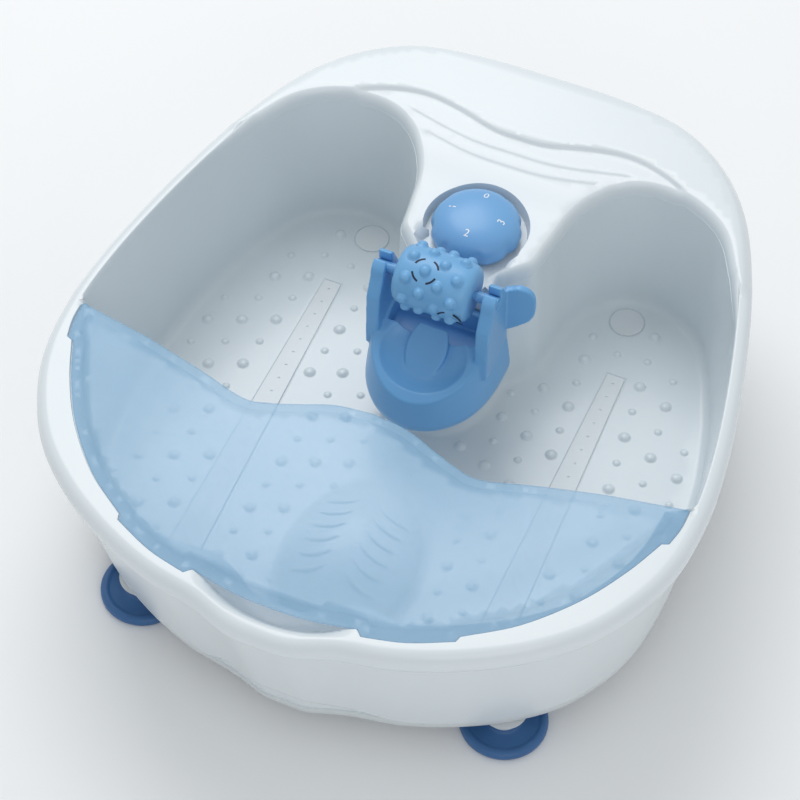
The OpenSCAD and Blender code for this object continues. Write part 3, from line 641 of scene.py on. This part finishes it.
def rib(side, row):
    """A short massage rib over the mound, curved like a smile, round in section."""
    line = spline(RIB, 5)
    cx, cy = side * RIB_X, RIB_Y - row * RIB_STEP
    turn = math.radians(-RIB_TURN * side)
    c, d = math.cos(turn), math.sin(turn)
    pts = np.stack([cx + line[:, 0] * c - line[:, 1] * d, cy + line[:, 0] * d + line[:, 1] * c], axis=1)
    t = np.gradient(pts, axis=0)
    t /= np.linalg.norm(t, axis=1)[:, None]
    across = np.stack([-t[:, 1], t[:, 0]], axis=1)
    rings = []
    angles = 2 * math.pi * np.arange(8) / 8
    for k, (p, h) in enumerate(zip(pts, floor_height(pts))):
        fade = math.sin(math.pi * (k + 0.25) / (len(pts) - 0.5)) ** 0.4
        ring = p + across[k] * (RIB_HALF * fade * np.cos(angles))[:, None]
        rings.append((ring, h + RIB_H * fade * np.sin(angles)))
    return loft(rings, True, True)


def hump_ribs():
    """Two rows of six ribs over the mound."""
    return [rib(side, row) for side in (-1, 1) for row in range(6)]


def tub_lines():
    """Feature lines of the top surface: deck edge, terraces, dial recess, ledge and spout."""
    edge = both_sides(spline(DECK_EDGE, 6, first=flip(DECK_EDGE[1])))
    lines = [offset_line(edge, d) for d in (-1.2, -0.6, 0.1, 0.9)]
    for line, _ in TERRACES:
        path = both_sides(spline(line, 6, first=flip(line[1])))
        lines += [offset_line(path, d) for d in (-0.9, -0.1, 0.7)]
    for r in (-0.5, 0.0, 0.45, 1.0):
        ring = inset(MOUTH, -r)
        lines.append(ring[ring[:, 1] > POST_Y - 1])
    for y in (POST_Y - 0.12, POST_Y + 0.32):
        lines.append(np.array([(x, y) for x in np.linspace(-40, 40, 41)]))
    for grow in (0.0, 0.35):
        ring = inset(GUARD_OUT, -grow)
        right = ring[:GUARD_SIDES]
        lines.append(np.vstack([right[:0:-1] * np.array([-1, 1]), right]))
    for k in (0.5, 0.65, 0.78, 0.9, 1.0, 1.04):
        lines.append(circle((0, SPOUT_Y), SPOUT_X * k, 64, SPOUT_DEPTH / SPOUT_X))
    return lines


def make_tub():
    outside = tub_outside()
    cavity = tub_inside()
    top = plate(outside[-1][0], cavity[-1][0], 4.0, top_height, tub_lines())
    floor = floor_plate(cavity[0][0])
    shell = new_object("tub_shell", *merged([loft(outside, cap_low=True), loft(cavity), top, floor]),
                       MATERIALS["white_shell"], 50)
    details = new_object("tub_details", *merged(floor_nubs() + hump_ribs()), MATERIALS["white_shell"], 60)
    tub = join([shell, details], "tub_skin")
    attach(tub, "basin")
    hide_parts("tub")


# ---------------------------------------------------------------- base tray

def stem(x, y):
    """Foot stem that flares out of the tray's underside."""
    rows = [(8.6, 6.0), (8.9, 9.0), (9.3, 11.5), (10.4, 13.2), (12.8, 14.2), (12.8, 14.8)]
    return moved(lathe(rows, 48), (x, y, 0))


def make_base():
    """Bottom tray with a rounded lower edge and a stem over each foot."""
    rows = [(BASE_Z, 7.5), (BASE_Z + 0.15, 5.2), (BASE_Z + 0.7, 3.6), (BASE_Z + 1.7, 2.0),
            (BASE_Z + 3.0, 1.0), (BASE_Z + 4.6, 0.45), (BASE_Z + 6.5, 0.25), (BASE_Z + 8.5, 0.2),
            (BASE_Z + 10.4, 0.2), (PART_Z - 0.9, 0.2), (PART_Z - 0.5, 0.45), (PART_Z - 0.3, 0.9)]
    rings = [(wall_ring(z, e), z) for z, e in rows]
    rings += [(wall_ring(PART_Z, 3.0), PART_Z - 0.3), (wall_ring(20, 3.2), 20.0),
              (wall_ring(17, 5.0), BASE_Z + WALL)]
    parts = [loft(rings, cap_low=True, cap_high=True)]
    for node in FEET:
        lo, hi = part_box(node)
        parts.append(stem(500 * (lo.x + hi.x), 500 * (lo.y + hi.y)))
    base = new_object("base_tray", *merged(parts), MATERIALS["white_base"], 45)
    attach(base, "basin")
    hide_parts("base_cover")


# ---------------------------------------------------------------- splash guard

def guard_height(pts):
    """Upper face of the guard: a narrow flat border, then two shallow domes side by side."""
    near = np.abs(ring_distance(pts, GUARD_EDGE))
    lift = 1.1 * smoothstep(near, 5.2, 7.4) + 2.2 * smoothstep(near, 6.5, 42)
    edge = 0.7 * smoothstep(near, -0.2, 0.9) - 0.7
    return LEDGE_Z + 2.25 + lift + edge


def make_guard():
    """Two sheets, the lower one 2.1 mm down, joined all round by the edge."""
    outer = GUARD_EDGE
    lines = [inset(outer, d) for d in (0.9, 5.2, 6.3, 7.4)]
    lines = [np.vstack([line, line[:1]]) for line in lines]
    verts, faces = plate(outer, NO_HOLE, 5.0, guard_height, lines)
    top = np.array(verts)
    n = len(top)
    low = top.copy()
    low[:, 2] = np.maximum(LEDGE_Z + 0.1, top[:, 2] - 2.1)
    low_faces = [tuple(n + i for i in reversed(f)) for f in faces]
    order = {tuple(np.round(p, 3)): i for i, p in enumerate(top[:, :2])}
    rim = [order[tuple(np.round(p, 3))] for p in outer if tuple(np.round(p, 3)) in order]
    walls = [(a, b, n + b, n + a) for a, b in zip(rim, rim[1:] + rim[:1])]
    guard = new_object("splash_guard_skin", np.vstack([top, low]), faces + low_faces + walls,
                       MATERIALS["guard_clear_blue"], 50)
    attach(guard, "guard")
    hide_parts("splash_guard")


# ---------------------------------------------------------------- cradle

def boolean(target, tool, operation):
    """Cuts or adds the tool, which is used up."""
    mod = target.modifiers.new("cut", "BOOLEAN")
    mod.operation = operation
    mod.solver = "EXACT"
    mod.object = tool
    bpy.context.view_layer.objects.active = target
    bpy.ops.object.modifier_apply(modifier=mod.name)
    bpy.data.objects.remove(tool, do_unlink=True)


def softened(obj, voxel, rounds):
    """Rounds every edge of a solid like a moulding, by fine remeshing and smoothing."""
    bpy.context.view_layer.objects.active = obj
    remesh = obj.modifiers.new("remesh", "REMESH")
    remesh.mode = "VOXEL"
    remesh.voxel_size = voxel * MM
    bpy.ops.object.modifier_apply(modifier=remesh.name)
    soft = obj.modifiers.new("smooth", "SMOOTH")
    soft.factor = 0.5
    soft.iterations = rounds
    bpy.ops.object.modifier_apply(modifier=soft.name)
    for f in obj.data.polygons:
        f.use_smooth = True


SKIRT = [(0, -17.5), (15, -13.5), (27, -3), (34, 10), (37.5, 26), (38.2, 45.2)]
SKIRT_BACK = 45.2
ARM_IN, ARM_OUT = 27.8, 35.6
SLOPE = 24.0


def skirt_ring(share):
    half = spline(SKIRT, 8, first=flip(SKIRT[1]))
    depth = SKIRT_BACK - (SKIRT_BACK - half[:, 1]) * (1 - share)
    half = np.stack([half[:, 0] * (1 - share), depth], axis=1)
    return mirrored(np.vstack([half, [(0, SKIRT_BACK)]]))


def extruded(profile, x0, x1):
    """Side profile in y, z made thick along X."""
    n = len(profile)
    verts = [(x0, y, z) for y, z in profile] + [(x1, y, z) for y, z in profile]
    faces = [(i, (i + 1) % n, n + (i + 1) % n, n + i) for i in range(n)]
    faces += [tuple(range(n - 1, -1, -1)), tuple(range(n, 2 * n))]
    return verts, faces


def arm_profile():
    y, z = AXLE[1], AXLE[2]
    crown = [(y + 8.8 * math.cos(a), z + 8.6 * math.sin(a))
             for a in np.linspace(math.radians(10), math.radians(185), 17)]
    front = [(15.6, 126), (14.6, 112)]
    return [(14.0, 88), (45.0, 88), (45.0, 122), (43.4, 130)] + crown + front


def ellipsoid(centre, radii, tilt=0.0):
    bpy.ops.mesh.primitive_uv_sphere_add(segments=64, ring_count=32, radius=1.0)
    obj = bpy.context.object
    obj.data.transform(Matrix.Diagonal((*[r * MM for r in radii], 1.0)))
    obj.data.transform(Matrix.Rotation(math.radians(tilt), 4, "X"))
    obj.data.transform(Matrix.Translation([c * MM for c in centre]))
    return obj


def block(lo, hi, tilt=0.0, pivot=(0, 0, 0)):
    verts = [(x, y, z) for x in (lo[0], hi[0]) for y in (lo[1], hi[1]) for z in (lo[2], hi[2])]
    faces = [(0, 1, 3, 2), (4, 6, 7, 5), (0, 4, 5, 1), (2, 3, 7, 6), (0, 2, 6, 4), (1, 5, 7, 3)]
    obj = new_object("block", verts, faces, MATERIALS["blue_plastic"])
    move = Matrix.Translation(Vector(pivot) * MM)
    obj.data.transform(move @ Matrix.Rotation(math.radians(tilt), 4, "X") @ move.inverted())
    return obj


def rod_x(x0, x1, centre, radius):
    bpy.ops.mesh.primitive_cylinder_add(vertices=64, radius=radius * MM, depth=(x1 - x0) * MM)
    obj = bpy.context.object
    obj.data.transform(Matrix.Rotation(math.pi / 2, 4, "Y"))
    obj.data.transform(Matrix.Translation([(x0 + x1) / 2 * MM, centre[0] * MM, centre[1] * MM]))
    return obj


def cradle_cap():
    """Hollow cap over the post, with a dished top that falls towards the nose."""
    blue = MATERIALS["blue_plastic"]
    rows = [(63, 0.05), (64, 0.026), (66, 0.012), (70, 0.0), (77, 0.014), (84, 0.035), (90, 0.056),
            (96, 0.08), (104, 0.11), (112, 0.14)]
    cap = new_object("cradle_skin", *loft([(skirt_ring(s), z) for z, s in rows], True, True), blue)
    boolean(cap, block((-60, -60, 88), (60, 100, 150), SLOPE, (0, -12, 88)), "DIFFERENCE")
    boolean(cap, block((-60, 18, 106), (60, 60, 150)), "DIFFERENCE")
    boolean(cap, ellipsoid((0, 10, 101), (26, 22.5, 9.6), SLOPE), "DIFFERENCE")
    boolean(cap, block((-26, 23, 92), (26, 41, 130)), "DIFFERENCE")
    boolean(cap, block((-24, 8, 50), (24, 60, POST_TOP + 0.4)), "DIFFERENCE")
    boolean(cap, block((-28.4, 24, 50), (28.4, 60, POST_TOP + 0.4)), "DIFFERENCE")
    return cap


def cradle_tongue():
    """Oval ramp that rises out of the dish."""
    ring = circle((0, 16), 11.5, 64, 1.25)
    tongue = new_object("tongue", *loft([(ring, 82), (ring, 118)], True, True), MATERIALS["blue_plastic"])
    boolean(tongue, block((-30, -30, 89), (30, 60, 150), 36, (0, 3, 89)), "DIFFERENCE")
    boolean(tongue, block((-30, 26, 60), (30, 60, 150)), "DIFFERENCE")
    return tongue


def cradle_arm(side):
    arm = new_object("arm", *extruded(arm_profile(), *sorted((side * ARM_IN, side * ARM_OUT))),
                     MATERIALS["blue_plastic"])
    span = sorted((side * (ARM_IN - 2), side * (ARM_OUT + 2)))
    y, z = AXLE[1], AXLE[2]
    boolean(arm, rod_x(*span, (y, z), 3.4), "DIFFERENCE")
    boolean(arm, block((span[0], y - 2.9, z), (span[1], y + 2.9, z + 14)), "DIFFERENCE")
    return arm


def cradle_tab():
    outline = spline([(0, 0), (5, 2.5), (10, 6), (14, 9.5), (16.6, 15), (17.2, 22), (16.4, 29), (13, 34),
                      (8, 36.2), (4, 35), (0, 34)], 5)
    verts, faces = extruded([(p, q) for p, q in outline], 0.0, 4.2)
    turn = Matrix.Rotation(math.radians(16), 3, "Z") @ Matrix.Rotation(math.radians(-90), 3, "Z")
    return new_object("tab", *moved((verts, faces), (ARM_OUT - 2.4, 45.0, 101), turn),
                      MATERIALS["blue_plastic"])


def make_cradle():
    """Cap, ramp, arms and finger tab as one moulding."""
    cap = cradle_cap()
    for piece in (cradle_tongue(), cradle_arm(-1), cradle_arm(1), cradle_tab()):
        boolean(cap, piece, "UNION")
    softened(cap, 0.6, 14)
    cap.data.materials.clear()
    cap.data.materials.append(MATERIALS["blue_plastic"])
    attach(cap, "cradle")
    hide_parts("roller_cradle")


# ---------------------------------------------------------------- roller

ROLLER_R, ROLLER_LEN = 17.0, 44.0
NUB_ROWS = (-13.5, -4.5, 4.5, 13.5)


def along_x(part):
    turn = Matrix.Rotation(math.pi / 2, 3, "Y")
    return moved(part, (0, AXLE[1], AXLE[2]), turn)


def make_roller():
    """Barrel with four staggered rings of nubs, and dark strips round two of them that paint the shade
    inside drain slots.
    """
    h = ROLLER_LEN / 2
    profile = [(2.4, -h + 0.9), (8.0, -h + 0.3), (10.6, -h), (13.0, -h + 0.5), (14.8, -h + 1.6),
               (16.0, -h + 3.4), (16.45, -h + 5.6), (ROLLER_R, -h + 8), (ROLLER_R, 0)]
    profile += [(r, -z) for r, z in reversed(profile[:-1])]
    parts = [along_x(lathe(profile, 96))]
    dome = [(3.9, -0.5), (3.4, 0.05), (2.95, 0.5), (2.75, 1.0), (2.45, 1.6), (1.85, 2.15), (1.0, 2.5),
            (0.2, 2.6)]
    for r, x in enumerate(NUB_ROWS):
        for k in range(8):
            turn = Matrix.Rotation(math.radians(45 * k + (r % 2) * 22.5), 3, "X")
            out = turn @ Vector((0, 0, ROLLER_R - 0.05))
            parts.append(moved(lathe(dome, 24), (x + out.x, AXLE[1] + out.y, AXLE[2] + out.z), turn))
    roller = new_object("roller_skin", *merged(parts), MATERIALS["blue_roller"], 60)
    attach(roller, "roller")
    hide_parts("roller_sleeve")
    # Dark strips laid on the barrel paint the shade inside the drain slots round two rings of nubs
    arcs = []
    for x, angle in ((NUB_ROWS[1], 22.5), (NUB_ROWS[3], 67.5 + 45)):
        for start in (20, 110, 200, 290):
            arcs.append(slot_shade_arc(x, angle, 7.0, start, 50))
    slots = new_object("roller_slot_shade", *merged(arcs), SLOT_PAINTED_SHADE, 60)
    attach(slots, "roller")


def slot_shade_arc(x, angle, radius, start, sweep):
    """Dark strip round a nub, laid on the barrel, that paints the shade inside a narrow curved drain
    slot.
    """
    verts, faces = [], []
    steps = 10
    for k in range(steps + 1):
        a = math.radians(start + sweep * k / steps)
        for r in (radius - 0.55, radius + 0.55):
            along, across = x + r * math.cos(a), r * math.sin(a)
            turn = math.radians(angle) + across / ROLLER_R
            for rr in (ROLLER_R - 0.4, ROLLER_R + 0.06):
                verts.append((along, AXLE[1] - rr * math.sin(turn), AXLE[2] + rr * math.cos(turn)))
    for k in range(steps):
        a, b = 4 * k, 4 * k + 4
        faces += [(a + 1, a + 3, b + 3, b + 1), (a, b, b + 2, a + 2), (a, a + 1, b + 1, b),
                  (a + 2, b + 2, b + 3, a + 3)]
    faces += [(0, 2, 3, 1), (4 * steps, 4 * steps + 1, 4 * steps + 3, 4 * steps + 2)]
    return verts, faces


# ---------------------------------------------------------------- dial

SCALLOPS, SCALLOP_DEPTH = 8, 1.3
SLEEVE_R = 18.5
DIGIT_SIZE, DIGIT_REACH, DIGIT_PROUD = 6.0, 14.6, 0.05
DIAL = [(18.0, 119.7), (24.4, 119.7), (25.0, 120.2), (25.2, 121.2), (25.2, 122.6), (25.1, 124.0),
        (24.6, 125.8), (23.6, 127.8), (22.1, 129.7), (20.2, 131.4), (17.8, 132.8), (14.8, 134.0),
        (11.4, 134.9), (7.8, 135.5), (4.4, 135.85), (1.5, 136.0), (0.3, 136.0)]


def grip(angle, r, z):
    """Broad scallops round the dial's lower side, which run out below the crown."""
    if r < SLEEVE_R:
        return r
    wave = max(0.0, math.cos(SCALLOPS * angle + math.pi)) ** 2.0
    return r - SCALLOP_DEPTH * wave * float(1 - smoothstep(z, 123.5, 130.5))


def crown_z(r):
    """Height of the crown at a distance from the dial's axis."""
    rows = [(r0, z0) for r0, z0 in DIAL if z0 > 124][::-1]
    return float(np.interp(r, [p[0] for p in rows], [p[1] for p in rows]))


def make_knob():
    body = moved(lathe(DIAL, 192, grip), (*KNOB, 0))
    dial = new_object("dial_skin", *body, MATERIALS["blue_knob"], 40)
    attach(dial, "knob")
    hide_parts("control_knob")
    digits = []
    for text, around in (("0", 90), ("1", 180), ("2", 270), ("3", 0)):
        digits.append(digit(text, around))
    marks = join(digits, "dial_digits")
    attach(marks, "knob")


def digit(text, around):
    """A printed digit on the crown, its foot towards the edge."""
    curve = bpy.data.curves.new("digit_" + text, "FONT")
    curve.body = text
    curve.size = DIGIT_SIZE * MM
    curve.align_x = "CENTER"
    curve.align_y = "CENTER"
    curve.extrude = DIGIT_PROUD * MM
    source = bpy.data.objects.new("digit_" + text, curve)
    bpy.context.scene.collection.objects.link(source)
    bpy.context.view_layer.update()
    mesh = bpy.data.meshes.new_from_object(source)
    bpy.data.objects.remove(source, do_unlink=True)
    obj = bpy.data.objects.new("digit_" + text, mesh)
    bpy.context.scene.collection.objects.link(obj)
    mesh.materials.clear()
    mesh.materials.append(PRINT)
    reach = DIGIT_REACH * MM
    a = math.radians(around)
    mesh.transform(Matrix.Rotation(a + math.pi / 2, 4, "Z"))
    mesh.transform(Matrix.Translation((reach * math.cos(a), reach * math.sin(a), 0)))
    for v in mesh.vertices:
        r = math.hypot(v.co.x, v.co.y) / MM
        v.co.z += (crown_z(r) + DIGIT_PROUD) * MM
        v.co.x += KNOB[0] * MM
        v.co.y += KNOB[1] * MM
    return obj


# ---------------------------------------------------------------- feet, strips and plugs

def make_feet():
    """Soft feet with a rounded rim and a raised ring."""
    rows = [(2.0, 2.6), (4.0, 2.6), (4.2, 0.8), (9.0, 0.8), (10.6, 0.1), (11.4, 0.0), (22.2, 0.0),
            (23.3, 0.4), (23.9, 1.4), (24.0, 2.6), (23.9, 3.9), (23.3, 4.9), (22.3, 5.5), (20.8, 5.7),
            (19.9, 5.5), (19.2, 4.9), (18.2, 4.7), (14.0, 4.7), (11.0, 4.9), (9.9, 5.4), (9.4, 5.95),
            (2.0, 5.95)]
    for node in FEET:
        lo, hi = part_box(node)
        centre = (500 * (lo.x + hi.x), 500 * (lo.y + hi.y), 0)
        foot = new_object(node + "_skin", *moved(lathe(rows, 72), centre), MATERIALS["navy_rubber"], 50)
        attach(foot, "basin")
        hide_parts(node)


# ---------------------------------------------------------------- stage, light and camera

def make_stage():
    floor_mat = mottled("paper", (0.93, 0.935, 0.94), (0.945, 0.95, 0.955), 0.8, 3.0, 0.01)
    bpy.ops.mesh.primitive_plane_add(size=8.0, location=(0, 0, -0.0002))
    floor = bpy.context.object
    floor.name = "paper_floor"
    floor.data.materials.append(floor_mat)
    world = bpy.data.worlds.new("studio")
    bpy.context.scene.world = world
    world.use_nodes = True
    world.node_tree.nodes["Background"].inputs["Color"].default_value = (0.95, 0.98, 1.0, 1)
    world.node_tree.nodes["Background"].inputs["Strength"].default_value = 0.6
    lamp("key", (-0.55, 0.75, 1.55), 1.1, 13.0)
    lamp("fill", (0.9, -1.2, 1.0), 0.9, 3.0)
    bpy.context.scene.view_settings.view_transform = "Standard"


def lamp(name, place, size, watts):
    light = bpy.data.lights.new(name, "AREA")
    light.size = size
    light.energy = watts
    obj = bpy.data.objects.new(name, light)
    obj.location = place
    aim = Vector((0, 0, 0.08)) - Vector(place)
    obj.rotation_euler = aim.to_track_quat("-Z", "Y").to_euler()
    bpy.context.scene.collection.objects.link(obj)


def make_camera():
    """The photographed view: from the spout end, to the left, well above the rim."""
    azimuth, elevation, distance = math.radians(23.03), math.radians(53.51), 1.5
    target = Vector((0.0041, -0.0308, 0.1108))
    back = Vector((math.sin(azimuth) * math.cos(elevation), -math.cos(azimuth) * math.cos(elevation),
                   math.sin(elevation)))
    lens = bpy.data.cameras.new("camera")
    lens.sensor_width = 36.0
    lens.lens = 127.35
    cam = bpy.data.objects.new("camera", lens)
    cam.location = target + back * distance
    cam.rotation_euler = (-back).to_track_quat("-Z", "Y").to_euler()
    bpy.context.scene.collection.objects.link(cam)
    bpy.context.scene.camera = cam


paint_cad_nodes()
make_tub()
make_base()
make_guard()
make_cradle()
make_roller()
make_knob()
make_feet()
make_stage()
make_camera()
bpy.context.view_layer.update()
